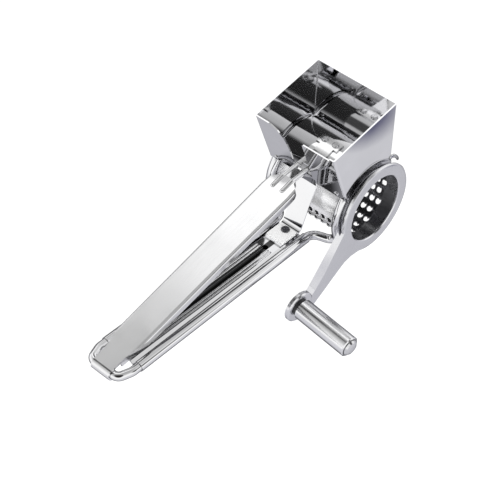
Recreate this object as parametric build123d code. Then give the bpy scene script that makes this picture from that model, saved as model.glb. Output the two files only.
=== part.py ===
from build123d import *
import math
import os

os.makedirs("parts", exist_ok=True)

# ---------------------------------------------------------------- driving dimensions (mm)
# design frame: X along the drum axis (+X crank side), Y along the handle (+Y front), Z up,
# zero at the drum's centre.  Everything is shifted at the end so that the origin is the
# bottom centre of the whole object's box.
HOP_W = 52.0            # hopper outside width along the drum
HOP_TOP_Z = 56.2        # rim height above the drum axis
HOP_BOT_Z = 20.4        # lower edge of the front and rear walls
HOP_TOP_YF, HOP_TOP_YR = 24.5, -24.2
HOP_BOT_Y = 18.0
HOP_T = 0.8
HOP_R = 1.3             # outside bend radius of the hopper's corners
SLOT_W = 11.6           # slot in the rear wall for the lever's tongue
SLOT_BOT_Z = 24.6

WIRE_R = 2.35           # frame wire
RING_R = 23.9           # centre line of the wire round the drum
RING_X = 22.8
RING_A0, RING_A1 = 185.0, 40.0      # degrees from +Y towards +Z
HINGE_Y, HINGE_Z = -164.8, 19.0     # rear cross bar of the wire = lever pivot
LEG_F = (10.3, -34.0, -5.2)         # front end of a sleeve's centre line
LEG_R = (11.2, -153.3, 17.0)        # rear end of a sleeve's centre line
SLEEVE_R = 2.8

DRUM_R, DRUM_T = 20.3, 0.5
DRUM_X0, DRUM_X1 = -27.2, 28.3
COLLAR_R = 21.0         # smooth end collars that turn in the bearing rings
BEAR_R0, BEAR_R1 = 21.05, 21.5
HOLE_R = 1.35
HOLE_COLS, HOLE_PITCH_X = 22, 4.2   # columns round the drum (three left out for the smooth seam), pitch along it
HOLE_A0, SEAM_A0, SEAM_A1 = -31.0, 120.0, 170.0

CR_X = 29.4             # outside face of the crank
CR_R0, CR_R1 = 19.0, 25.9
CR_T = 0.8
KNOB_Y, KNOB_Z = -61.6, -19.9
KNOB_LEAN = 4.7         # the eyelet and knob lean outward along the arm (degrees)
KNOB_R = 5.7
KNOB_X0, KNOB_X1 = 30.6, 64.8
PIN_R = 2.5
EYE_R, EYE_OFF = 8.9, 0.8   # eyelet, its centre a little in front of the knob's

LEV_T = 1.0             # lever sheet
LEV_CX = -1.2           # the lever's tongue and the hopper's slot sit a little left of the middle
LEV_D = 4.2             # depth of its side flanges
LEV_Y0, LEV_Z0 = -150.0, 23.30
LEV_SLOPE = math.degrees(math.atan2(31.1 - LEV_Z0, 119.0))
STRIP_HW = 6.0
PUSH_R, PUSH_T = 26.35, 0.8   # the plate stops just over the wire rings
PUSH_HX = 23.6
PUSH_YF, PUSH_YR = 16.4, 14.8

CURL_R0, CURL_R1 = 2.42, 3.32


# ---------------------------------------------------------------- helpers
def yz(x):
    "plane at x whose sketch axes are +Y and +Z (normal +X)"
    return Plane(origin=(x, 0, 0), x_dir=(0, 1, 0), z_dir=(1, 0, 0))


def poly_x(pts, x0, x1):
    "closed (y, z) polygon extruded along X from x0 to x1"
    face = make_face(Polyline(*[(x0, p[0], p[1]) for p in pts], close=True))
    return extrude(face, amount=x1 - x0, dir=(1, 0, 0))


def cyl_x(r, x0, x1, y=0.0, z=0.0):
    return extrude(yz(x0) * Pos(y, z) * Circle(r), amount=x1 - x0, dir=(1, 0, 0))


def tube_x(r0, r1, x0, x1, y=0.0, z=0.0):
    return cyl_x(r1, x0, x1, y, z) - cyl_x(r0, x0 - 1, x1 + 1, y, z)


def rod(p, q, r):
    "round bar from p to q"
    d = Vector(*q) - Vector(*p)
    return extrude(Plane(origin=p, z_dir=d) * Circle(r), amount=d.length)


def revolve_x(pts, y=0.0, z=0.0):
    "closed (x, r) polygon turned about the X axis through (y, z)"
    face = make_face(Polyline(*[(p[0], y + p[1], z) for p in pts], close=True))
    return revolve(face, axis=Axis((0, y, z), (1, 0, 0)), revolution_arc=360)


def one(s):
    "the single solid held by a boolean's result"
    sol = s.solids()
    return max(sol, key=lambda k: k.volume) if len(sol) >= 1 else s


NODES = {}

# ---------------------------------------------------------------- hopper
# four walls folded from one sheet; the front and rear walls lean outward to the rim
lean_f = (HOP_TOP_YF - HOP_BOT_Y) / (HOP_TOP_Z - HOP_BOT_Z)
lean_r = (HOP_TOP_YR + HOP_BOT_Y) / (HOP_TOP_Z - HOP_BOT_Z)


def wall_y(z, front, inset=0.0):
    if front:
        return HOP_BOT_Y + lean_f * (z - HOP_BOT_Z) - inset
    return -HOP_BOT_Y + lean_r * (z - HOP_BOT_Z) + inset


Z_LOW = 6.0
hop_outer = poly_x([(wall_y(Z_LOW, False), Z_LOW), (wall_y(Z_LOW, True), Z_LOW),
                    (HOP_TOP_YF, HOP_TOP_Z), (HOP_TOP_YR, HOP_TOP_Z)], -HOP_W / 2, HOP_W / 2)
edges = [e for e in hop_outer.edges() if abs(e.center().Z - (Z_LOW + HOP_TOP_Z) / 2) < 1.0]
hop_outer = fillet(edges, HOP_R)
zi0, zi1 = Z_LOW - 2, HOP_TOP_Z + 2
hop_inner = poly_x([(wall_y(zi0, False, HOP_T), zi0), (wall_y(zi0, True, HOP_T), zi0),
                    (wall_y(zi1, True, HOP_T), zi1), (wall_y(zi1, False, HOP_T), zi1)],
                   -HOP_W / 2 + HOP_T, HOP_W / 2 - HOP_T)
edges = [e for e in hop_inner.edges() if abs(e.center().Z - (zi0 + zi1) / 2) < 1.0]
hop_inner = fillet(edges, HOP_R - HOP_T)
hopper = hop_outer - hop_inner
# below the drum-side arc the walls stop on the wire rings
hopper -= cyl_x(RING_R + WIRE_R + 0.05, -HOP_W / 2 + HOP_T, HOP_W / 2 - HOP_T)
hopper -= cyl_x(36.1, -40, 40, 0, -11.9)
# front and rear walls stop at their lower edge (side walls reach on down to the wire)
hopper -= Pos(0, 0, HOP_BOT_Z - 10) * Box(HOP_W - 2 * HOP_R, 80, 20)
hopper -= Pos(0, 0, HOP_BOT_Z - 1.4 - 10) * Box(HOP_W + 4, 80, 20)
# slot for the lever, opening out to the rim
SX = LEV_CX
slot_face = make_face(Polyline(
    (SX - SLOT_W / 2, -40, SLOT_BOT_Z), (SX + SLOT_W / 2, -40, SLOT_BOT_Z), (SX + SLOT_W / 2, -40, 53.6),
    (SX + 6.6, -40, 54.3), (HOP_W / 2 - 3.2, -40, 54.5), (HOP_W / 2 - 3.2, -40, 60),
    (-HOP_W / 2 + 4.6, -40, 60), (-HOP_W / 2 + 4.6, -40, 57.0), (-15.4, -40, 56.0), (-11.6, -40, 53.6),
    (SX - 7.7, -40, 49.2), (SX - 6.4, -40, 44.5), (SX - SLOT_W / 2, -40, 38.0), close=True))
hopper -= extrude(slot_face, amount=30, dir=(0, 1, 0))
NODES["hopper"] = one(hopper)

# rivets through the lower corners of the front and rear walls, domed heads outside
riv = []
for sx in (-1, 1):
    for front in (False, True):
        zc = HOP_BOT_Z + 2.4
        yc = wall_y(zc, front)
        s = 1 if front else -1
        lean = lean_f if front else lean_r
        nrm = Vector(0, s, -s * lean)
        nrm = nrm.normalized()
        base = Vector(sx * 20.2, yc, zc)
        head = extrude(Plane(origin=base, z_dir=nrm) * Circle(1.5), amount=0.7)
        top = head.faces().sort_by(lambda f: f.center().dot(nrm))[-1]
        head = fillet(top.edges(), 0.5)
        shank = extrude(Plane(origin=base - nrm * (HOP_T + 0.5), z_dir=nrm) * Circle(0.8), amount=HOP_T + 0.5)
        riv.append(one(head + shank))
RIVET_BORES = [extrude(Plane(origin=Vector(sx * 20.2, wall_y(HOP_BOT_Z + 2.4, fr), HOP_BOT_Z + 2.4),
                             z_dir=Vector(0, 1, 0)) * Circle(0.8), amount=3, both=True)
               for sx in (-1, 1) for fr in (False, True)]
for r in riv:
    NODES["hopper"] = one(NODES["hopper"] - r)
NODES["hopper_rivets"] = Compound(children=riv)

# ---------------------------------------------------------------- frame wire
# one bent wire: half rings over the drum, flares, two legs, rear cross bar


def ring_pt(a, sx=1):
    a = math.radians(a)
    return (sx * RING_X, RING_R * math.cos(a), RING_R * math.sin(a))


def leg_point(y, sx=1):
    t = (y - LEG_F[1]) / (LEG_R[1] - LEG_F[1])
    return (sx * (LEG_F[0] + t * (LEG_R[0] - LEG_F[0])), y, LEG_F[2] + t * (LEG_R[2] - LEG_F[2]))


t0 = math.radians(RING_A0)
tan0 = (math.sin(t0), -math.cos(t0))
flare = 8.0


def corner(sx):
    s = ring_pt(RING_A0, sx)
    return (s[0], s[1] - flare * tan0[0], s[2] - flare * tan0[1])


pts = [ring_pt(RING_A0, -1), corner(-1), leg_point(-29.4, -1), leg_point(-157.5, -1),
       (-8.7, HINGE_Y, HINGE_Z), (8.7, HINGE_Y, HINGE_Z), leg_point(-157.5), leg_point(-29.4),
       corner(1), ring_pt(RING_A0, 1)]
run = FilletPolyline(*pts, radius=[5.0, 8.0, 7.0, 3.6, 3.6, 7.0, 8.0, 5.0])


def ring_arc(sx):
    am = (RING_A0 + RING_A1) / 2
    return ThreePointArc(ring_pt(RING_A0, sx), ring_pt(am, sx), ring_pt(RING_A1, sx))


path_edges = list(ring_arc(-1).edges()) + list(run.edges()) + list(ring_arc(1).edges())
path = Wire(path_edges)
a1 = math.radians(RING_A1)
start = Plane(origin=ring_pt(RING_A1, -1), z_dir=(0, math.sin(a1), -math.cos(a1)))
wire = sweep(start * Circle(WIRE_R), path=path)
NODES["wire_frame"] = one(wire)

# ---------------------------------------------------------------- lower handle
# a sheet whose two long edges are rolled round the wire's legs, with a sunk channel
lf, lr = Vector(*LEG_F), Vector(*LEG_R)
ldir = Vector(0, lr.Y - lf.Y, lr.Z - lf.Z).normalized()
up = Vector(0, -ldir.Z, ldir.Y)
if up.Z < 0:
    up = up * -1
hlen = math.hypot(lr.Y - lf.Y, lr.Z - lf.Z)
HP = Plane(origin=(0, lf.Y, lf.Z), x_dir=(1, 0, 0), z_dir=ldir)     # section plane, local y = -/+ up
sgn = 1 if HP.y_dir.dot(up) > 0 else -1
sec = [(-5.6, 0), (5.6, 0), (8.6, -1.9), (8.6, -2.6), (7.9, -2.6), (5.3, -0.8), (-5.3, -0.8),
       (-7.9, -2.6), (-8.6, -2.6), (-8.6, -1.9)]
floor_face = make_face(Polyline(*[HP.from_local_coords((p[0], sgn * p[1], 0)) for p in sec], close=True))
floor = extrude(floor_face, amount=hlen, dir=ldir)
handle = floor
for sx in (-1, 1):
    handle += rod((sx * lf.X, lf.Y, lf.Z), (sx * lr.X, lr.Y, lr.Z), SLEEVE_R)
HT = Plane(origin=(0, lf.Y, lf.Z), x_dir=(1, 0, 0), z_dir=up)         # floor top
fs = 1 if HT.y_dir.dot(ldir) > 0 else -1
rib_c, rib_l = 62.0, 88.0
rib_out = extrude(HT * Pos(0, fs * rib_c) * SlotOverall(rib_l + 1.6, 5.2, rotation=90), amount=-2.3)
rib_in = extrude(HT * Pos(0, fs * rib_c) * SlotOverall(rib_l, 3.6, rotation=90), amount=1)
rib_in += extrude(HT * Pos(0, fs * rib_c) * SlotOverall(rib_l, 3.6, rotation=90), amount=-1.6)
handle = handle + rib_out - rib_in
for sx in (-1, 1):
    e = Vector(sx * (lr.X - lf.X), lr.Y - lf.Y, lr.Z - lf.Z).normalized()
    a = Vector(sx * lf.X, lf.Y, lf.Z) - e * 3
    b = Vector(sx * lr.X, lr.Y, lr.Z) + e * 3
    handle -= rod((a.X, a.Y, a.Z), (b.X, b.Y, b.Z), WIRE_R + 0.02)
NODES["lower_handle"] = one(handle)

# neck: strap that lies on the handle's front end and rises to the hopper's rear wall
NECK_HW, NECK_T = 6.0, 0.8


def on_floor(y, off=0.0):
    z = lf.Z + (y - lf.Y) * ldir.Z / ldir.Y
    return (y + up.Y * off, z + up.Z * off)


top_in = HOP_BOT_Z + 3.0
n_out = [on_floor(-48.0, 0.02), on_floor(-33.0, 0.02), (wall_y(HOP_BOT_Z - 2.5, False, HOP_T + 0.02) - 0.6, HOP_BOT_Z - 2.5),
         (wall_y(top_in, False, HOP_T + 0.02), top_in)]


def offset_poly(line, d):
    "offset an open (y, z) polyline to its left by d"
    out = []
    for i, p in enumerate(line):
        dirs = []
        if i > 0:
            q = line[i - 1]
            dirs.append((p[0] - q[0], p[1] - q[1]))
        if i < len(line) - 1:
            q = line[i + 1]
            dirs.append((q[0] - p[0], q[1] - p[1]))
        dirs = [(a / math.hypot(a, b), b / math.hypot(a, b)) for a, b in dirs]
        if len(dirs) == 1:
            n = (-dirs[0][1], dirs[0][0])
            out.append((p[0] + n[0] * d, p[1] + n[1] * d))
        else:
            n1, n2 = (-dirs[0][1], dirs[0][0]), (-dirs[1][1], dirs[1][0])
            k = d / (1 + n1[0] * n2[0] + n1[1] * n2[1])
            out.append((p[0] + (n1[0] + n2[0]) * k, p[1] + (n1[1] + n2[1]) * k))
    return out


# the strap's lower/rear side is n_out; its thickness goes to the upper side on the foot
n_mid = list(n_out)
n_top = offset_poly(n_mid, NECK_T)
strap_pts = n_mid + n_top[::-1]
neck = poly_x(strap_pts, -NECK_HW, NECK_HW)
bend = [e for e in neck.edges() if abs(e.center().X) < 0.01 and e.length > 5
        and math.hypot(e.center().Y - n_mid[1][0], e.center().Z - n_mid[1][1]) < 0.2]
bend_i = [e for e in neck.edges() if abs(e.center().X) < 0.01 and e.length > 5
          and math.hypot(e.center().Y - n_top[1][0], e.center().Z - n_top[1][1]) < 0.2]
try:
    neck = fillet(bend_i, 3.2)
    bend = [e for e in neck.edges() if abs(e.center().X) < 0.01 and e.length > 5
            and math.hypot(e.center().Y - n_mid[1][0], e.center().Z - n_mid[1][1]) < 0.2]
    neck = fillet(bend, 4.0)
except Exception as ex:
    print("neck bend left sharp", ex)
neck = one(neck)
neck = one(neck - NODES["hopper"])
NODES["neck_bracket"] = neck

# small cover plate on the neck's foot
c0, c1 = on_floor(-46.5, 0.04 + NECK_T), on_floor(-35.4, 0.04 + NECK_T)
plate = poly_x([c0, c1, (c1[0] + up.Y * 0.8, c1[1] + up.Z * 0.8), (c0[0] + up.Y * 0.8, c0[1] + up.Z * 0.8)], -5.6, 5.6)
corner_e = [e for e in plate.edges() if abs(e.length - 0.8) < 0.01]
plate = fillet(corner_e, 0.9)
rv = on_floor(-38.0, 0.0)
bore = extrude(Plane(origin=(0, rv[0] - up.Y * 6, rv[1] - up.Z * 6), z_dir=up) * Circle(1.25), amount=12)
NODES["handle_front_plate"] = one(plate - bore)
NODES["neck_bracket"] = one(NODES["neck_bracket"] - bore)
NODES["lower_handle"] = one(NODES["lower_handle"] - bore)
r_lo, r_hi = -0.8, 0.04 + NECK_T + 0.8


def along_up(off):
    return (0, rv[0] + up.Y * off, rv[1] + up.Z * off)


rivet = extrude(Plane(origin=along_up(r_lo - 0.5), z_dir=up) * Circle(1.23), amount=r_hi - r_lo + 1.0)
h1 = extrude(Plane(origin=along_up(r_hi + 0.01), z_dir=up) * Circle(2.4), amount=0.8)
h1 = fillet(h1.faces().sort_by(lambda f: f.center().dot(up))[-1].edges(), 0.6)
h2 = extrude(Plane(origin=along_up(r_lo - 0.01), z_dir=up * -1) * Circle(2.2), amount=0.7)
h2 = fillet(h2.faces().sort_by(lambda f: f.center().dot(up))[0].edges(), 0.5)
NODES["handle_rivet"] = one(rivet + h1 + h2)

# ---------------------------------------------------------------- bearing rings for the drum
for name, sx in (("left_bearing_ring", -1), ("right_bearing_ring", 1)):
    xa, xb = sx * 22.3, sx * 27.5
    ring = tube_x(BEAR_R0, BEAR_R1, min(xa, xb), max(xa, xb))
    NODES[name] = one(ring)

# ---------------------------------------------------------------- drum
shell = tube_x(DRUM_R - DRUM_T, DRUM_R, DRUM_X0, DRUM_X1)
cutters = []
for j in range(HOLE_COLS):
    a = HOLE_A0 + 360.0 / HOLE_COLS * j
    if SEAM_A0 < (a % 360.0) < SEAM_A1:
        continue
    d = Vector(0, math.cos(math.radians(a)), math.sin(math.radians(a)))
    for m in range(-8, 4):
        x = (12.9 if j % 2 == 0 else 10.8) + HOLE_PITCH_X * m
        if abs(x) < 19.6:
            cutters.append(extrude(Plane(origin=(x, d.Y * 18.5, d.Z * 18.5), z_dir=d) * Circle(HOLE_R), amount=3.5))
shell = shell.cut(*[c.solid() if hasattr(c, "solid") and not isinstance(c, Solid) else c for c in cutters]) \
    if hasattr(shell, "cut") else shell - cutters
NODES["grating_drum"] = one(shell)
# smooth collars on both ends of the drum
NODES["drum_left_collar"] = one(revolve_x([(DRUM_X0 - 0.6, DRUM_R - 1.3), (DRUM_X0 - 0.6, COLLAR_R - 0.2),
                                           (DRUM_X0 - 0.3, COLLAR_R), (-21.0, COLLAR_R),
                                           (-21.0, DRUM_R + 0.01), (DRUM_X0 - 0.01, DRUM_R + 0.01),
                                           (DRUM_X0 - 0.01, DRUM_R - 1.3)]))
NODES["drum_right_collar"] = one(tube_x(DRUM_R + 0.01, COLLAR_R, 21.0, 28.1))

# ---------------------------------------------------------------- crank
ring = revolve_x([(28.3, CR_R0), (CR_X - 0.5, CR_R0), (CR_X, CR_R0 + 0.5), (CR_X, 24.6), (CR_X - 0.25, 25.4),
                  (CR_X - 0.9, CR_R1), (27.95, CR_R1), (27.95, CR_R1 - CR_T),
                  (CR_X - 1.2, 24.7), (CR_X - 1.05, 24.2), (CR_X - 1.05, CR_R0 + 0.8), (28.3, CR_R0 + 0.8)])
# the arm, in (along, across) coordinates on the line from the drum axis to the knob axis
ua = Vector(0, KNOB_Y, KNOB_Z).normalized()
va = Vector(0, -ua.Z, ua.Y)
arm_len = math.hypot(KNOB_Y, KNOB_Z)


def arm_face(pts, x):
    vs = [Vector(x, 0, 0) + ua * a + va * b for a, b in pts]
    return make_face(Polyline(*[(v.X, v.Y, v.Z) for v in vs], close=True))


def lean(s):
    "tilt a part built along X through the knob's foot to the knob's real axis"
    ax = Axis((CR_X, KNOB_Y, KNOB_Z), (0, -ua.Z, ua.Y))
    return s.rotate(ax, KNOB_LEAN)


# the two long edges of the arm's face and of its flanges' foot; the face narrows to the eyelet
face_l = [(17.5, -13.2), (22.8, -10.8), (32.8, -6.1), (43.2, -1.0), (53.0, 1.9), (60.0, 3.0)]
foot_l = [(17.5, -16.0), (22.8, -13.4), (32.8, -9.8), (43.2, -5.8), (53.0, -2.1), (60.0, -0.4)]
face_r = [(64.7, 9.55), (57.0, 10.5), (50.0, 10.3), (43.7, 9.9), (36.0, 9.5), (30.9, 9.5), (25.9, 11.1), (21.1, 14.2), (17.5, 17.6)]
foot_r = [(64.7, 9.7), (57.0, 11.0), (50.0, 11.2), (43.7, 11.0), (36.0, 10.9), (30.9, 11.2), (25.9, 13.0), (21.1, 16.4), (17.5, 20.0)]


def inset(left, right, d):
    return [(a, b + d) for a, b in left] + [(a, b - d) for a, b in right]


ARM_D = 2.6
arm_o = loft([arm_face(inset(face_l, face_r, 0), CR_X), arm_face(inset(foot_l, foot_r, 0), CR_X - ARM_D)], ruled=True)
arm_i = loft([arm_face(inset(face_l, face_r, CR_T), CR_X - CR_T),
              arm_face(inset(foot_l, foot_r, CR_T), CR_X - ARM_D - 0.5)], ruled=True)
arm = one(arm_o) - one(arm_i)
keep_out = cyl_x(24.6, 20, 40)
arm = arm - keep_out
# flanges fade out beside the ring's turned edge
arm = arm - cyl_x(27.2, 20, 28.15)
# eyelet round the knob's foot
eye = revolve_x([(CR_X - 2.6, EYE_R - 0.8), (CR_X - 2.6, EYE_R), (CR_X - 0.8, EYE_R), (CR_X - 0.1, EYE_R - 0.7),
                 (CR_X, EYE_R - 1.6), (CR_X, 0), (CR_X - CR_T, 0), (CR_X - CR_T, EYE_R - 1.6),
                 (CR_X - 1.1, EYE_R - 0.8)], KNOB_Y + va.Y * EYE_OFF, KNOB_Z + va.Z * EYE_OFF)
eye = lean(one(eye))
arm = one(arm) - lean(one(cyl_x(EYE_R - 0.4, 10, 50, KNOB_Y + va.Y * EYE_OFF, KNOB_Z + va.Z * EYE_OFF)))
crank = one(ring) + one(arm) + one(eye)
crank -= lean(one(cyl_x(PIN_R, 20, 40, KNOB_Y, KNOB_Z)))
NODES["crank_plate"] = one(crank)

# knob pin: riveted inside the crank, domed head outside
NODES["knob_pin"] = one(revolve_x([(CR_X - CR_T - 1.1, 0), (CR_X - CR_T - 1.1, 2.6), (CR_X - CR_T - 0.5, 3.8), (CR_X - CR_T - 0.01, 3.8),
                                   (CR_X - CR_T - 0.01, PIN_R - 0.01), (KNOB_X1 - 1.2, PIN_R - 0.01), (KNOB_X1 - 1.2, 4.5),
                                   (KNOB_X1 + 0.3, 4.5), (KNOB_X1 + 1.3, 3.6), (KNOB_X1 + 1.9, 2.2), (KNOB_X1 + 2.1, 0)],
                                  KNOB_Y, KNOB_Z))
NODES["knob_pin"] = lean(NODES["knob_pin"])
NODES["knob_washer"] = lean(one(tube_x(PIN_R + 0.02, 4.9, CR_X + 0.01, KNOB_X0 - 0.15, KNOB_Y, KNOB_Z)))
# knob sleeve: drawn tube with its foot end turned in to run on the pin
NODES["knob_sleeve"] = one(revolve_x([(KNOB_X0, PIN_R + 0.05), (KNOB_X0, KNOB_R - 0.6), (KNOB_X0 + 0.6, KNOB_R),
                                      (KNOB_X1 - 0.5, KNOB_R), (KNOB_X1, KNOB_R - 0.5), (KNOB_X1, 4.75),
                                      (KNOB_X1 - 1.6, 4.75), (KNOB_X1 - 1.6, PIN_R + 0.05), (KNOB_X1 - 3.0, PIN_R + 0.05),
                                      (KNOB_X1 - 3.6, 4.8), (KNOB_X0 + 1.6, 4.8), (KNOB_X0 + 1.2, PIN_R + 0.05)],
                                     KNOB_Y, KNOB_Z))
NODES["knob_sleeve"] = lean(NODES["knob_sleeve"])
kc = NODES["knob_sleeve"].bounding_box().center()
print("knob centre", round(kc.X, 3), round(kc.Y, 3), round(kc.Z, 3))

# ---------------------------------------------------------------- press lever
sl = math.radians(LEV_SLOPE)
ls = Vector(0, math.cos(sl), math.sin(sl))           # along the lever, to the front
ln = Vector(0, -math.sin(sl), math.cos(sl))          # its top's normal
LP = Plane(origin=(0, LEV_Y0, LEV_Z0), x_dir=(1, 0, 0), z_dir=ln)
ks = 1 if LP.y_dir.dot(ls) > 0 else -1


def lev_outline(d=0.0, s0=-9.0, s1=120.5):
    "half widths along the lever, right and left of the middle plane; d insets the outline"
    hr = [(s0, 5.8), (-5.5, 6.1), (-1.0, 6.7), (3.0, 7.5), (8.0, 8.0), (60.0, 7.9), (110.0, 8.3),
          (114.0, 8.1), (116.2, 7.1), (117.6, 5.4), (118.6, 4.0), (s1, 3.3)]
    hl = [(s0, 6.0), (-5.5, 6.3), (-1.0, 7.2), (2.0, 8.6), (6.0, 9.4), (60.0, 10.0), (110.0, 10.7),
          (114.0, 10.5), (116.2, 9.5), (117.6, 7.8), (118.6, 6.4), (s1, 5.7)]
    return [(h - d, ks * q) for q, h in hr] + [(d - h, ks * q) for q, h in hl[::-1]]


def lev_solid(pts, z0, z1):
    f = make_face(Polyline(*[LP.from_local_coords((x, y, z0)) for x, y in pts], close=True))
    return extrude(f, amount=z1 - z0, dir=ln)


outer = one(lev_solid(lev_outline(), -LEV_D, 0))
# round the two long top edges
tops = [e for e in outer.edges() if e.length > 20 and abs((e.center() - Vector(0, LEV_Y0, LEV_Z0)).dot(ln)) < 0.01]
outer = one(fillet(tops, 1.7))
inner = one(lev_solid(lev_outline(LEV_T, -30.0, 140.0), -LEV_D - 3, -LEV_T))
body = one(outer - inner)
# rear strip that curls round the frame's cross bar
top_rear = LP.from_local_coords((0, ks * -8.9, 0))
ca = 90.0 + LEV_SLOPE
strip_dir = math.atan2(top_rear.Z - HINGE_Z, top_rear.Y - HINGE_Y)
dist = math.hypot(top_rear.Z - HINGE_Z, top_rear.Y - HINGE_Y)
tang = strip_dir + math.acos(CURL_R1 / dist)         # angle of the outer tangent point
tp = (HINGE_Y + CURL_R1 * math.cos(tang), HINGE_Z + CURL_R1 * math.sin(tang))
ti = (HINGE_Y + CURL_R0 * math.cos(tang), HINGE_Z + CURL_R0 * math.sin(tang))
fwd = LP.from_local_coords((0, ks * 2.0, 0))
fwd_b = LP.from_local_coords((0, ks * 2.0, -LEV_T))
strip = poly_x([ti, tp, (top_rear.Y, top_rear.Z), (fwd.Y, fwd.Z), (fwd_b.Y, fwd_b.Z),
                (top_rear.Y + 0.1, top_rear.Z - LEV_T)], -STRIP_HW, STRIP_HW)
curl = tube_x(CURL_R0, CURL_R1, -STRIP_HW, STRIP_HW, HINGE_Y, HINGE_Z)
# keep the curl from its tangent point round the back to underneath
end_a = tang + math.radians(205)
wedge = [(HINGE_Y, HINGE_Z)]
for k in range(0, 13):
    a = end_a + (2 * math.pi - math.radians(205)) * k / 12
    wedge.append((HINGE_Y + 9 * math.cos(a), HINGE_Z + 9 * math.sin(a)))
curl = one(curl - poly_x(wedge, -STRIP_HW - 1, STRIP_HW + 1))
# tongue: straight run down to the pusher, then a pad curved to its crown
pad_r = PUSH_R + PUSH_T + 0.01
ta = 101.2
p_end = (math.cos(math.radians(ta)) * (pad_r + LEV_T * 0.9), math.sin(math.radians(ta)) * (pad_r + LEV_T * 0.9))
p_end_b = (math.cos(math.radians(ta)) * pad_r, math.sin(math.radians(ta)) * pad_r)
fr = LP.from_local_coords((0, ks * 119.5, 0))
frb = LP.from_local_coords((0, ks * 119.0, -LEV_T))
fr0 = LP.from_local_coords((0, ks * 117.0, 0))
frb0 = LP.from_local_coords((0, ks * 117.0, -LEV_T))
tongue = poly_x([(frb0.Y, frb0.Z), (frb.Y, frb.Z), p_end_b, p_end, (fr.Y, fr.Z), (fr0.Y, fr0.Z)], LEV_CX - 4.3, LEV_CX + 4.3)
slot_c = (-19.5, 29.1)
tongue -= Pos(LEV_CX, slot_c[0], slot_c[1]) * Box(3.6, 6.0, 6.0)


def arc_band(r0, r1, a0, a1, x0, x1):
    "part of a tube about the drum axis between two angles (degrees from +Y)"
    s = tube_x(r0, r1, x0, x1)
    n = 8
    keep = [(0, 0)] + [(40 * math.cos(math.radians(a0 + (a1 - a0) * k / n)),
                        40 * math.sin(math.radians(a0 + (a1 - a0) * k / n))) for k in range(n + 1)]
    return one(s & poly_x(keep, x0 - 1, x1 + 1))


neck_pad = arc_band(pad_r, pad_r + LEV_T * 0.9, 89.0, ta, LEV_CX - 4.3, LEV_CX + 4.3)
pad = arc_band(pad_r, pad_r + LEV_T * 0.9, 78.5, 91.0, -8.3, 5.3)
# two pressed ribs on the tongue
tdir = Vector(0, p_end[0] - fr.Y, p_end[1] - fr.Z).normalized()
lever = body + strip + curl + tongue + neck_pad + pad
for sx in (-1, 1):
    q0 = Vector(LEV_CX + sx * 3.1, fr.Y, fr.Z) + Vector(0, 0, -0.25) - ls * 7.5
    q1 = Vector(LEV_CX + sx * 3.1, fr.Y, fr.Z) + Vector(0, 0, -0.25)
    q2 = q1 + tdir * 11.0
    lever += rod((q0.X, q0.Y, q0.Z), (q1.X, q1.Y, q1.Z), 1.2)
    lever += rod((q1.X, q1.Y, q1.Z), (q2.X, q2.Y, q2.Z), 1.2)
    lever += Pos(q0.X, q0.Y, q0.Z) * Sphere(1.2)
    lever += Pos(q1.X, q1.Y, q1.Z) * Sphere(1.2)
    lever += Pos(q2.X, q2.Y, q2.Z) * Sphere(1.2)

# pusher plate and its rivets
ph_f = math.degrees(math.asin(PUSH_YF / PUSH_R))
ph_r = math.degrees(math.asin(PUSH_YR / PUSH_R))
pusher = arc_band(PUSH_R, PUSH_R + PUSH_T, 90 - ph_f, 90 + ph_r, -PUSH_HX, PUSH_HX)
priv = []
for sx in (-1, 1):
    a = math.radians(84.5)
    d = Vector(0, math.cos(a), math.sin(a))
    o = Vector(-1.5 + sx * 3.6, 0, 0)
    b0 = o + d * (PUSH_R - 0.5)
    sh = extrude(Plane(origin=b0, z_dir=d) * Circle(1.0), amount=PUSH_T + LEV_T * 0.9 + 1.0)
    hb = o + d * (pad_r + LEV_T * 0.9 - 0.12)
    hd = extrude(Plane(origin=hb, z_dir=d) * Circle(1.9), amount=0.9)
    hd = fillet(hd.faces().sort_by(lambda f: f.center().dot(d))[-1].edges(), 0.6)
    lo = o + d * (PUSH_R - 0.55)
    hl = extrude(Plane(origin=lo, z_dir=d) * Circle(1.6), amount=0.6)
    priv.append(one(sh + hd + hl))
for r in priv:
    lever = one(lever - r)
    pusher = one(pusher - r)
NODES["press_lever"] = one(lever)
NODES["pusher_plate"] = pusher
NODES["pusher_rivets"] = Compound(children=priv)

# ---------------------------------------------------------------- shift to the final frame and write
lo = [1e9] * 3
hi = [-1e9] * 3
for s in NODES.values():
    bb = s.bounding_box()
    for k, (a, b) in enumerate(((bb.min.X, bb.max.X), (bb.min.Y, bb.max.Y), (bb.min.Z, bb.max.Z))):
        lo[k], hi[k] = min(lo[k], a), max(hi[k], b)
SHIFT = (-(lo[0] + hi[0]) / 2, -(lo[1] + hi[1]) / 2, -lo[2])
print("shift", [round(v, 4) for v in SHIFT], "size", [round(hi[k] - lo[k], 3) for k in range(3)])
for name, s in NODES.items():
    placed = Pos(*SHIFT) * s
    placed.label = name
    export_step(placed, f"parts/{name}.step")
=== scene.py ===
import math
import bmesh
import bpy
import numpy as np
from mathutils import Matrix, Vector


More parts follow.
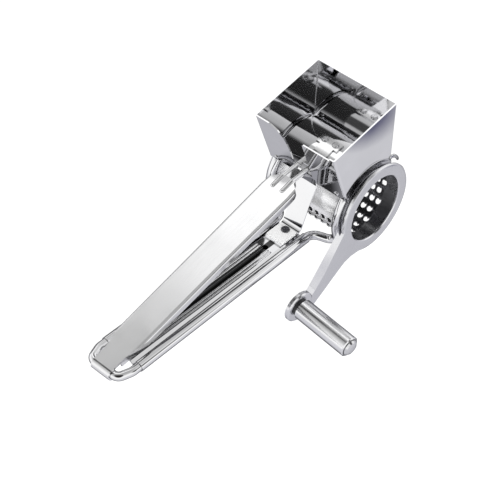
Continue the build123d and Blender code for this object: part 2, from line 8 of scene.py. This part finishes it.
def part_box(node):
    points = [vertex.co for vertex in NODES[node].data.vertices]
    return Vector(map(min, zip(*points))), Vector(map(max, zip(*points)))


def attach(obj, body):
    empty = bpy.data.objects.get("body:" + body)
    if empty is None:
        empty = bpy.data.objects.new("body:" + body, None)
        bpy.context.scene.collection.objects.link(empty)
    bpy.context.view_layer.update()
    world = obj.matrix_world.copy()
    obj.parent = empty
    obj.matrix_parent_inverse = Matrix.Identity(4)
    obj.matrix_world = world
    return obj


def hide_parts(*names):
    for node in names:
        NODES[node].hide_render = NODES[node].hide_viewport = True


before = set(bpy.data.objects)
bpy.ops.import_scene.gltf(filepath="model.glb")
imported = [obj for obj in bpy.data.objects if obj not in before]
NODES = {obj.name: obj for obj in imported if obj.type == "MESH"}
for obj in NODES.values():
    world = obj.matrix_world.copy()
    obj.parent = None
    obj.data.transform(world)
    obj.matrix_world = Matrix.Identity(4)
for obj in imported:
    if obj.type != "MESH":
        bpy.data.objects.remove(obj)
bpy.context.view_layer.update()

scene = bpy.context.scene
scene.view_settings.view_transform = "Standard"

# ------------------------------------------------------------------ the drum's axis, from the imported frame
lo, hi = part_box("grating_drum")
DC = Vector((0, (lo.y + hi.y) / 2, (lo.z + hi.z) / 2))
lo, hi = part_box("hopper")
DC.x = (lo.x + hi.x) / 2
MM = 0.001


def W(x, y, z):
    "design millimetres about the drum's centre to the row frame"
    return Vector((x * MM, y * MM, z * MM)) + DC


# ------------------------------------------------------------------ camera
cam_data = bpy.data.cameras.new("camera")
cam = bpy.data.objects.new("camera", cam_data)
scene.collection.objects.link(cam)
scene.camera = cam
cam_data.sensor_width = 36.0
cam_data.sensor_fit = "HORIZONTAL"
cam_data.lens = 1574.0 / 502.0 * 36.0
cam_data.clip_start = 0.05
cam_data.clip_end = 100.0
right = Vector((0.73657841, 0.66894922, -0.09979569))
down = Vector((0.48704343, -0.62698697, -0.6080099))
fwd = Vector((-0.46929835, 0.39924213, -0.78763239))
m = Matrix.Identity(4)
for r in range(3):
    m[r][0], m[r][1], m[r][2] = right[r], -down[r], -fwd[r]
m.translation = W(374.034, -381.251, 633.065)
cam.matrix_world = m


# ------------------------------------------------------------------ node helpers
def new_mat(name):
    mat = bpy.data.materials.new(name)
    mat.use_nodes = True
    nt = mat.node_tree
    nt.nodes.clear()
    out = nt.nodes.new("ShaderNodeOutputMaterial")
    bsdf = nt.nodes.new("ShaderNodeBsdfPrincipled")
    nt.links.new(bsdf.outputs[0], out.inputs[0])
    return mat, nt, bsdf


def N(nt, kind, **kw):
    n = nt.nodes.new(kind)
    for k, v in kw.items():
        if hasattr(n, k):
            setattr(n, k, v)
        else:
            n.inputs[k].default_value = v
    return n


def L(nt, a, b):
    nt.links.new(a, b)


def noise(nt, vec, scale, detail=3.0, rough=0.5):
    n = nt.nodes.new("ShaderNodeTexNoise")
    n.inputs["Scale"].default_value = scale
    n.inputs["Detail"].default_value = detail
    n.inputs["Roughness"].default_value = rough
    L(nt, vec, n.inputs["Vector"])
    return n.outputs["Fac"]


def ramp(nt, fac, stops):
    r = nt.nodes.new("ShaderNodeValToRGB")
    e = r.color_ramp.elements
    while len(e) > 1:
        e.remove(e[-1])
    e[0].position = stops[0][0]
    e[0].color = (*stops[0][1], 1) if isinstance(stops[0][1], tuple) else (stops[0][1],) * 3 + (1,)
    for p, c in stops[1:]:
        x = e.new(p)
        x.color = (*c, 1) if isinstance(c, tuple) else (c,) * 3 + (1,)
    L(nt, fac, r.inputs["Fac"])
    return r.outputs["Color"]


def maprange(nt, fac, a, b, c, d):
    r = nt.nodes.new("ShaderNodeMapRange")
    r.inputs["From Min"].default_value = a
    r.inputs["From Max"].default_value = b
    r.inputs["To Min"].default_value = c
    r.inputs["To Max"].default_value = d
    L(nt, fac, r.inputs["Value"])
    return r.outputs["Result"]


def steel(name, color, rough=(0.04, 0.12), wave=0.25, wave_scale=38.0, grain=0.15, grain_axis=1, grain_scale=900.0,
          tint=0.04, painted_edge_shade=(0.72, 0.90, 0.22), painted_underside_shade=None, metal=1.0, painted_reflection_streaks=None, painted_groove_shade_x=None):
    """Polished or satin stainless steel: pressed-sheet waviness, fine polishing lines, smudges in the roughness;
    painted shade darkens the colour where the surface turns edge-on, with optional painted shade on downward faces and
    along the groove, and optional painted reflection streaks.
    """
    mat, nt, b = new_mat(name)
    b.inputs["Metallic"].default_value = metal
    tc = nt.nodes.new("ShaderNodeTexCoord").outputs["Object"]
    mp = nt.nodes.new("ShaderNodeMapping")
    sc = [1.0, 1.0, 1.0]
    sc[grain_axis] = 0.03
    mp.inputs["Scale"].default_value = sc
    L(nt, tc, mp.inputs["Vector"])
    smudge = noise(nt, tc, 55.0, 4.0, 0.55)
    fine = noise(nt, mp.outputs["Vector"], grain_scale, 2.0, 0.6)
    # roughness: smudges and polishing lines
    mixr = nt.nodes.new("ShaderNodeMath")
    mixr.operation = "MULTIPLY_ADD"
    L(nt, fine, mixr.inputs[0])
    mixr.inputs[1].default_value = 0.35
    L(nt, smudge, mixr.inputs[2])
    L(nt, maprange(nt, mixr.outputs[0], 0.45, 0.95, rough[0], rough[1]), b.inputs["Roughness"])
    # colour: slight tint variation
    c0 = tuple(max(0.0, c * (1 - tint)) for c in color)
    c1 = tuple(min(1.0, c * (1 + tint * 0.5)) for c in color)
    base = ramp(nt, smudge, [(0.3, c0), (0.7, c1)])
    if painted_reflection_streaks is not None:
        # painted reflection: long lighter and darker streaks along the drum's axis, standing in for reflected light
        ms = nt.nodes.new("ShaderNodeMapping")
        ms.inputs["Scale"].default_value = (0.10, 1.0, 1.0)
        L(nt, tc, ms.inputs["Vector"])
        st = nt.nodes.new("ShaderNodeMix")
        st.data_type = "RGBA"
        st.blend_type = "MULTIPLY"
        st.inputs["Factor"].default_value = 1.0
        L(nt, base, st.inputs["A"])
        L(nt, ramp(nt, noise(nt, ms.outputs["Vector"], painted_reflection_streaks, 3.0, 0.6), [(0.35, 0.55), (0.55, 1.0), (0.68, 2.6)]), st.inputs["B"])
        base = st.outputs["Result"]
    # painted shade: the colour is darkened where the surface turns edge-on, drawing dark lines along the edges and
    # bends
    lw = nt.nodes.new("ShaderNodeLayerWeight")
    lw.inputs["Blend"].default_value = 0.5
    mul = nt.nodes.new("ShaderNodeMix")
    mul.data_type = "RGBA"
    mul.blend_type = "MULTIPLY"
    mul.inputs["Factor"].default_value = 1.0
    L(nt, base, mul.inputs["A"])
    L(nt, ramp(nt, lw.outputs["Facing"], [(0.0, 1.0), (painted_edge_shade[0], 1.0), (painted_edge_shade[1], painted_edge_shade[2]), (1.0, painted_edge_shade[2] * 0.7)]), mul.inputs["B"])
    col = mul.outputs["Result"]
    if painted_underside_shade is not None:
        # painted shade: faces turned downward are coloured dark grey
        sep = nt.nodes.new("ShaderNodeSeparateXYZ")
        L(nt, nt.nodes.new("ShaderNodeTexCoord").outputs["Normal"], sep.inputs[0])
        mu = nt.nodes.new("ShaderNodeMix")
        mu.data_type = "RGBA"
        L(nt, maprange(nt, sep.outputs["Z"], -0.55, -0.30, 1.0, 0.0), mu.inputs["Factor"])
        L(nt, col, mu.inputs["A"])
        mu.inputs["B"].default_value = (painted_underside_shade, painted_underside_shade, painted_underside_shade * 1.02, 1)
        col = mu.outputs["Result"]
    if painted_groove_shade_x is not None:
        # painted shade: a dark strip is coloured along the groove in the middle of the channel
        sx = nt.nodes.new("ShaderNodeSeparateXYZ")
        L(nt, tc, sx.inputs[0])
        xm = maprange(nt, sx.outputs["X"], painted_groove_shade_x - 6 * MM, painted_groove_shade_x + 6 * MM, 0.0, 1.0)
        gm = nt.nodes.new("ShaderNodeMix")
        gm.data_type = "RGBA"
        gm.blend_type = "MULTIPLY"
        gm.inputs["Factor"].default_value = 1.0
        L(nt, col, gm.inputs["A"])
        L(nt, ramp(nt, xm, [(0.0, 1.0), (0.345, 1.0), (0.36, 0.08), (0.64, 0.08), (0.655, 1.0), (1.0, 1.0)]), gm.inputs["B"])
        col = gm.outputs["Result"]
    L(nt, col, b.inputs["Base Color"])
    b.inputs["Specular Tint"].default_value = (0.45, 0.45, 0.47, 1)
    # bump: waviness of the pressed sheet, then polishing lines
    wv = noise(nt, tc, wave_scale, 2.0, 0.4)
    b1 = nt.nodes.new("ShaderNodeBump")
    b1.inputs["Strength"].default_value = wave
    b1.inputs["Distance"].default_value = 0.002
    L(nt, wv, b1.inputs["Height"])
    b2 = nt.nodes.new("ShaderNodeBump")
    b2.inputs["Strength"].default_value = grain
    b2.inputs["Distance"].default_value = 0.00002
    L(nt, fine, b2.inputs["Height"])
    L(nt, b1.outputs[0], b2.inputs["Normal"])
    L(nt, b2.outputs[0], b.inputs["Normal"])
    return mat


def plastic(name, color, rough=0.45):
    mat, nt, b = new_mat(name)
    tc = nt.nodes.new("ShaderNodeTexCoord").outputs["Object"]
    n1 = noise(nt, tc, 900.0, 3.0, 0.5)
    L(nt, ramp(nt, n1, [(0.3, color), (0.7, tuple(c * 1.6 for c in color))]), b.inputs["Base Color"])
    L(nt, maprange(nt, n1, 0.3, 0.7, rough - 0.08, rough + 0.08), b.inputs["Roughness"])
    b1 = nt.nodes.new("ShaderNodeBump")
    b1.inputs["Strength"].default_value = 0.2
    b1.inputs["Distance"].default_value = 0.00005
    L(nt, n1, b1.inputs["Height"])
    L(nt, b1.outputs[0], b.inputs["Normal"])
    return mat


MAT = {
    "polished": steel("polished_sheet", (0.93, 0.93, 0.94), rough=(0.02, 0.08), wave=0.05, wave_scale=30.0, grain=0.06),
    # the lever: painted shade on its downward faces and painted dark lines along its edges
    "lever": steel("lever_sheet", (0.92, 0.92, 0.925), rough=(0.12, 0.22), wave=0.04, wave_scale=25.0, grain=0.12, painted_underside_shade=0.16,
                   painted_edge_shade=(0.60, 0.80, 0.15)),
    "satin": steel("satin_sheet", (0.84, 0.84, 0.86), rough=(0.16, 0.28), wave=0.04, wave_scale=30.0, grain=0.10, grain_axis=0),
    "plate": steel("plate_sheet", (0.97, 0.97, 0.97), rough=(0.40, 0.52), wave=0.04, wave_scale=30.0, grain=0.15, metal=0.08),
    "wire": steel("polished_wire", (0.93, 0.93, 0.94), rough=(0.04, 0.11), wave=0.03, wave_scale=60.0, grain=0.08,
                  painted_edge_shade=(0.42, 0.68, 0.18)),
    "knob": steel("knob_sheet", (0.92, 0.92, 0.93), rough=(0.15, 0.24), wave=0.03, wave_scale=60.0, grain=0.10, grain_axis=0,
                  painted_edge_shade=(0.46, 0.74, 0.24)),
    # the handle: painted shade as a dark strip along the channel's groove
    "handle": steel("handle_sheet", (0.93, 0.93, 0.94), rough=(0.03, 0.10), wave=0.05, wave_scale=40.0, grain=0.06,
                    painted_edge_shade=(0.42, 0.68, 0.18), painted_groove_shade_x=(NODES["lower_handle"].matrix_world.inverted() @ DC).x),
    # painted shade: the handle's rivet is coloured dark grey, standing in for the shade at that spot
    "rivet_painted_shade": steel("rivet_painted_shade", (0.22, 0.22, 0.23), rough=(0.15, 0.3), wave=0.04, wave_scale=120.0, grain=0.2),
    "drum": steel("drum_sheet", (0.90, 0.90, 0.91), rough=(0.18, 0.32), wave=0.05, wave_scale=60.0, grain=0.12, grain_axis=0,
                  metal=0.65),
    # painted shade: the drum's inside is coloured dark grey, with painted reflection streaks along it
    "drum_in_painted_shade": steel("drum_inside_painted_shade", (0.17, 0.17, 0.18), rough=(0.26, 0.40), wave=0.05, wave_scale=60.0, grain=0.2, grain_axis=0,
                     painted_reflection_streaks=420.0),
    # painted shade: the inside's band near the right end is coloured mid grey
    "drum_lip_painted_shade": steel("drum_lip_painted_shade", (0.34, 0.34, 0.35), rough=(0.22, 0.36), wave=0.05, wave_scale=60.0, grain=0.15, grain_axis=0),
    "rivet": steel("rivet_head", (0.80, 0.80, 0.81), rough=(0.08, 0.2), wave=0.04, wave_scale=120.0, grain=0.2),
    "washer": plastic("washer_black", (0.012, 0.012, 0.013)),
}
USE = {
    "hopper": "polished", "hopper_rivets": "rivet", "wire_frame": "wire", "lower_handle": "handle",
    "neck_bracket": "polished", "handle_front_plate": "plate", "handle_rivet": "rivet_painted_shade",
    "left_bearing_ring": "satin", "right_bearing_ring": "satin", "press_lever": "lever", "pusher_plate": "polished",
    "pusher_rivets": "rivet", "grating_drum": "drum", "drum_left_collar": "satin", "drum_right_collar": "satin",
    "crank_plate": "satin", "knob_pin": "rivet", "knob_washer": "washer", "knob_sleeve": "knob",
}
for n, o in NODES.items():
    o.data.materials.clear()
    o.data.materials.append(MAT[USE[n]])


# ------------------------------------------------------------------ mesh helper
def mesh_obj(name, verts, faces, mat=None, smooth=True):
    me = bpy.data.meshes.new(name)
    me.from_pydata([tuple(v) for v in verts], [], faces)
    me.validate()
    me.update()
    if smooth:
        for p in me.polygons:
            p.use_smooth = True
    o = bpy.data.objects.new(name, me)
    scene.collection.objects.link(o)
    if mat is not None:
        me.materials.append(mat)
    return o


# ------------------------------------------------------------------ the grating drum: rolled sheet with punched teeth
# every hole is punched from inside: a heart-shaped opening with one pointed tooth standing out of the sheet
def drum_mesh():
    lo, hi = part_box("grating_drum")
    cy, cz = (lo.y + hi.y) / 2, (lo.z + hi.z) / 2
    x0, x1 = lo.x, hi.x
    ro = (hi.z - lo.z) / 2
    t = 0.5 * MM
    cols, sub, pitch = 22, 8, 4.2 * MM
    na = cols * sub
    da = math.tau / na
    dx = pitch / sub
    xref = DC.x + 12.9 * MM - pitch / 2        # a cell boundary of the even columns
    i0 = int(math.ceil((x0 - xref) / dx - 0.999))
    i1 = int(math.floor((x1 - xref) / dx + 0.999))
    a_ref = math.radians(-31.0) - da * sub / 2
    verts, faces, inside = [], [], []
    grid = {}

    def vert(x, a, r):
        verts.append((x, cy + r * math.cos(a), cz + r * math.sin(a)))
        return len(verts) - 1

    def xat(ix):
        return min(max(xref + ix * dx, x0), x1)

    def shared(ix, ia, side):
        key = (ix, ia % na, side)
        if key not in grid:
            grid[key] = vert(xat(ix), a_ref + (ia % na) * da, ro if side == 0 else ro - t)
        return grid[key]

    def quad(p, q, r_, s_, side):
        faces.append([p, q, r_, s_])
        inside.append(side)

    taken = set()
    rings = 5
    for j in range(cols):
        ang = (-31.0 + 360.0 / cols * j) % 360.0
        if 120.0 < ang < 170.0:
            continue
        for m_ in range(-8, 4):
            xm = (12.9 if j % 2 == 0 else 10.8) + 4.2 * m_
            if abs(xm) >= 19.6:
                continue
            ixs = sub * m_ + (0 if j % 2 == 0 else -sub // 2)
            ias = j * sub
            for ax in range(sub):
                for aa in range(sub):
                    taken.add((ixs + ax, ias + aa))
            bd = [(0, k) for k in range(sub)] + [(k, sub) for k in range(sub)] + \
                 [(sub, sub - k) for k in range(sub)] + [(sub - k, 0) for k in range(sub)]
            nb = len(bd)
            ac = a_ref + (ias + sub / 2) * da
            xc = xref + (ixs + sub / 2) * dx
            loops = {}
            for side in (0, 1):
                lps = [[shared(ixs + kx, ias + ka, side) for (kx, ka) in bd]]
                for q in range(1, rings + 1):
                    f = (q / rings) ** 0.8
                    loop = []
                    for (kx, ka) in bd:
                        v = (kx / sub - 0.5) * pitch
                        u = (ka / sub - 0.5) * sub * da * ro
                        phi = math.atan2(v, u)
                        dphi = math.atan2(math.sin(phi), math.cos(phi))
                        # heart: the rim is notched where the tooth stands
                        rh = (1.50 - 1.02 * math.exp(-(dphi / 0.52) ** 2)) * MM
                        uu = u + (1.15 * rh * math.cos(phi) - u) * f
                        vv = v + (rh * math.sin(phi) - v) * f
                        lift = max(0.0, (f - 0.30) / 0.70) ** 1.7
                        tooth = math.exp(-(dphi / 0.8) ** 2)
                        rr = ro + lift * (0.10 + 0.90 * tooth) * MM
                        if side == 1:
                            rr -= t * (1.0 - 0.35 * lift * tooth)
                        loop.append(vert(xc + vv, ac + uu / ro, rr))
                    lps.append(loop)
                for q in range(rings):
                    for k in range(nb):
                        n = (k + 1) % nb
                        quad(lps[q][k], lps[q][n], lps[q + 1][n], lps[q + 1][k], side)
                loops[side] = lps[-1]
            for k in range(nb):
                n = (k + 1) % nb
                quad(loops[0][k], loops[0][n], loops[1][n], loops[1][k], 0)
    for ix in range(i0, i1):
        if xat(ix + 1) - xat(ix) < 1e-7:
            continue
        for ia in range(na):
            if (ix, ia) in taken:
                continue
            for side in (0, 1):
                quad(shared(ix, ia, side), shared(ix + 1, ia, side), shared(ix + 1, ia + 1, side), shared(ix, ia + 1, side), side)
    ends = []
    for ix in range(i0, i1):
        if xat(ix + 1) - xat(ix) >= 1e-7:
            ends.append(ix)
    for ix in (ends[0], ends[-1] + 1):
        for ia in range(na):
            quad(shared(ix, ia, 0), shared(ix, ia + 1, 0), shared(ix, ia + 1, 1), shared(ix, ia, 1), 0)
    o = mesh_obj("drum_cutter", verts, faces, MAT["drum"])
    o.data.materials.append(MAT["drum_in_painted_shade"])
    o.data.materials.append(MAT["drum_lip_painted_shade"])
    # inner faces take the painted-shade materials: dark grey over the inside, mid grey on the band near the right end
    for p, sd in zip(o.data.polygons, inside):
        p.material_index = 2 if sd and p.center.x > DC.x + 20.4 * MM else sd
    bm = bmesh.new()
    bm.from_mesh(o.data)
    bmesh.ops.recalc_face_normals(bm, faces=bm.faces[:])
    bm.to_mesh(o.data)
    bm.free()
    return o


drum = drum_mesh()
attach(drum, "drum")
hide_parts("grating_drum")

# ------------------------------------------------------------------ the turned end of the band over the drum
def tab_mesh():
    pts = [(16.2, 22.9), (18.4, 22.8), (20.6, 21.6), (22.3, 19.4), (23.3, 17.2), (23.5, 15.6), (22.9, 14.9), (22.2, 15.4),
           (21.5, 17.3), (20.2, 19.2), (18.5, 20.5), (16.2, 21.0)]
    xs = [25.5, 26.4]
    verts = [W(x, y, z) for x in xs for (y, z) in pts]
    n = len(pts)
    faces = [list(range(n)), list(range(2 * n - 1, n - 1, -1))]
    faces += [[k, k + n, (k + 1) % n + n, (k + 1) % n] for k in range(n)]
    o = mesh_obj("band_end", verts, faces, MAT["wire"], smooth=False)
    bm = bmesh.new()
    bm.from_mesh(o.data)
    bmesh.ops.recalc_face_normals(bm, faces=bm.faces[:])
    bmesh.ops.bevel(bm, geom=bm.edges[:], offset=0.2 * MM, segments=2, profile=0.5, affect="EDGES")
    for f in bm.faces:
        f.smooth = True
    bm.to_mesh(o.data)
    bm.free()
    return o


tab = tab_mesh()
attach(tab, "frame")

# ------------------------------------------------------------------ rolled beads beside the groove of the handle's channel
def bead_mesh():
    o0 = Vector((0.0, -34.0, -5.2))
    e = Vector((0.0, -119.3, 22.2)).normalized()
    u = Vector((0.0, -e.z, e.y)) * (-1.0 if e.y < 0 else 1.0)
    st = [(20.0, 0.2), (20.2, 0.55), (20.6, 0.85), (21.2, 1.0), (50.0, 1.0), (78.0, 1.0), (104.8, 1.0), (105.4, 0.85),
          (105.8, 0.55), (106.0, 0.2)]
    verts, faces = [], []
    for xc in (-4.5, -2.75, 2.75, 4.5):
        base = len(verts)
        prof = [(0.62 * math.cos(math.pi * k / 10), 0.48 * math.sin(math.pi * k / 10)) for k in range(11)]
        prof = [(0.62, -0.15)] + prof + [(-0.62, -0.15)]
        n = len(prof)
        for s_, k_ in st:
            for (a_, h_) in prof:
                p = o0 + e * s_ + u * (h_ * k_ if h_ > 0 else h_)
                verts.append(W(xc + a_ * k_, p.y, p.z))
        for i in range(len(st) - 1):
            for k in range(n):
                q = base + i * n
                faces.append([q + k, q + (k + 1) % n, q + n + (k + 1) % n, q + n + k])
        faces.append([base + k for k in range(n)])
        faces.append([base + (len(st) - 1) * n + k for k in reversed(range(n))])
    o = mesh_obj("channel_beads", verts, faces, MAT["handle"])
    bm = bmesh.new()
    bm.from_mesh(o.data)
    bmesh.ops.recalc_face_normals(bm, faces=bm.faces[:])
    bm.to_mesh(o.data)
    bm.free()
    return o


beads = bead_mesh()
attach(beads, "frame")

# ------------------------------------------------------------------ floor
# the pale floor the camera sees, and the greyer table top that only the steel mirrors
fm, fnt, fb = new_mat("floor_pale")
fb.inputs["Base Color"].default_value = (0.16, 0.16, 0.16, 1)
fb.inputs["Roughness"].default_value = 0.9
fb.inputs["Specular IOR Level"].default_value = 0.0
fb.inputs["Emission Color"].default_value = (1, 1, 1, 1)
fb.inputs["Emission Strength"].default_value = 0.96
disc = [(40.0 * math.cos(math.tau * k / 64), 40.0 * math.sin(math.tau * k / 64), -0.0004) for k in range(64)]
floor = mesh_obj("floor", disc, [list(range(64))], fm, smooth=False)
floor.visible_glossy = False

tm, tnt, tb = new_mat("table_grey")
tb.inputs["Base Color"].default_value = (0.0, 0.0, 0.0, 1)
tb.inputs["Roughness"].default_value = 1.0
tb.inputs["Specular IOR Level"].default_value = 0.0
tco = tnt.nodes.new("ShaderNodeTexCoord").outputs["Object"]


def tdist(cx, cy, sx, sy):
    "distance from a point on the table, in units of the two half widths"
    mp = tnt.nodes.new("ShaderNodeMapping")
    mp.vector_type = "TEXTURE"
    mp.inputs["Location"].default_value = (cx, cy, 0)
    mp.inputs["Scale"].default_value = (sx, sy, 1)
    L(tnt, tco, mp.inputs["Vector"])
    ln_ = tnt.nodes.new("ShaderNodeVectorMath")
    ln_.operation = "LENGTH"
    L(tnt, mp.outputs["Vector"], ln_.inputs[0])
    return ln_.outputs["Value"]


far = ramp(tnt, maprange(tnt, tdist(0, 0, 1, 1), 0.0, 1.0, 0.0, 1.0),
           [(0.0, (0.66, 0.66, 0.70)), (0.2, (0.72, 0.72, 0.75)), (0.6, 0.9), (1.0, 1.0)])
# painted shadow: a dark patch on the table under the drum, seen in the steel's reflections, multiplied by a navy patch
# for the hopper wall
painted_shadow_centre = W(-22, -24, 0)
painted_shadow_and_navy = ramp(tnt, tdist(painted_shadow_centre.x, painted_shadow_centre.y, 0.030, 0.022), [(0.0, 0.03), (0.45, 0.05), (1.0, 1.0)])
pn = W(86, 66, 0)
navy = ramp(tnt, tdist(pn.x, pn.y, 0.020, 0.032), [(0.0, (0.08, 0.08, 0.15)), (0.45, (0.20, 0.20, 0.30)), (1.0, (1.0, 1.0, 1.0))])
nmul = tnt.nodes.new("ShaderNodeMix")
nmul.data_type = "RGBA"
nmul.blend_type = "MULTIPLY"
nmul.inputs["Factor"].default_value = 1.0
L(tnt, painted_shadow_and_navy, nmul.inputs["A"])
L(tnt, navy, nmul.inputs["B"])
painted_shadow_and_navy = nmul.outputs["Result"]
tmul = tnt.nodes.new("ShaderNodeMix")
tmul.data_type = "RGBA"
tmul.blend_type = "MULTIPLY"
tmul.inputs["Factor"].default_value = 1.0
L(tnt, far, tmul.inputs["A"])
L(tnt, painted_shadow_and_navy, tmul.inputs["B"])
L(tnt, tmul.outputs["Result"], tb.inputs["Emission Color"])
tb.inputs["Emission Strength"].default_value = 1.0
disc = [(3.0 * math.cos(math.tau * k / 64), 3.0 * math.sin(math.tau * k / 64), -0.0006) for k in range(64)]
table = mesh_obj("table", disc, [list(range(64))], tm, smooth=False)
table.visible_camera = False
table.visible_diffuse = False
table.visible_shadow = False

# ------------------------------------------------------------------ studio: soft white room with dark flags overhead
world = bpy.data.worlds.new("studio")
scene.world = world
world.use_nodes = True
wt = world.node_tree
wt.nodes.clear()
wo = wt.nodes.new("ShaderNodeOutputWorld")
bg = wt.nodes.new("ShaderNodeBackground")
wt.links.new(bg.outputs[0], wo.inputs[0])
wtc = wt.nodes.new("ShaderNodeTexCoord").outputs["Generated"]


def wdot(axis):
    v = wt.nodes.new("ShaderNodeVectorMath")
    v.operation = "DOT_PRODUCT"
    v.inputs[1].default_value = Vector(axis).normalized()
    wt.links.new(wtc, v.inputs[0])
    return v.outputs["Value"]


def wmap(f, a, b, c, d):
    r = wt.nodes.new("ShaderNodeMapRange")
    r.interpolation_type = "SMOOTHSTEP"
    r.inputs["From Min"].default_value = a
    r.inputs["From Max"].default_value = b
    r.inputs["To Min"].default_value = c
    r.inputs["To Max"].default_value = d
    wt.links.new(f, r.inputs["Value"])
    return r.outputs["Result"]


def wop(op, a, b):
    n = wt.nodes.new("ShaderNodeMath")
    n.operation = op
    for i, x in enumerate((a, b)):
        if isinstance(x, (int, float)):
            n.inputs[i].default_value = x
        else:
            wt.links.new(x, n.inputs[i])
    return n.outputs[0]


def patch(axis, r_out, r_in, v_out, v_in):
    "v_in inside r_in degrees of the axis, v_out beyond r_out degrees"
    return wmap(wdot(axis), math.cos(math.radians(r_out)), math.cos(math.radians(r_in)), v_out, v_in)


# base: white round the horizon, greyer overhead
val = wmap(wdot((0, 0, 1)), 0.35, 0.95, 1.0, 0.43)
# the soft box over the back left, where the lever's top looks
val = wop("MAXIMUM", val, patch((-0.47, 0.45, 0.76), 17, 9, 0.0, 1.25))
# dark flags: behind the camera, overhead, and narrow ones that draw the dark lines along the bends
for axis, r_out, r_in, dark in (((0.42, -0.36, 0.83), 36, 24, 0.05), ((-0.469, -0.08, 0.88), 12, 7, 0.12),
                                ((0.775, 0.40, 0.456), 17, 9, 0.05), ((-0.469, 0.70, 0.54), 15, 9, 0.05),
                                ((-0.93, 0.36, 0.05), 22, 12, 0.10)):
    val = wop("MULTIPLY", val, patch(axis, r_out, r_in, 1.0, dark))
wt.links.new(val, bg.inputs["Color"])
bg.inputs["Strength"].default_value = 1.0

# a soft fill from the right, for the satin pieces under the lever
fl = bpy.data.lights.new("fill", "AREA")
fl.size = 0.22
fl.energy = 1.5
fill = bpy.data.objects.new("fill", fl)
scene.collection.objects.link(fill)
fill.location = W(220, -180, 170)
fill.rotation_euler = (W(5, -35, 0) - fill.location).to_track_quat("-Z", "Y").to_euler()
fill.visible_glossy = False
fill.visible_camera = False
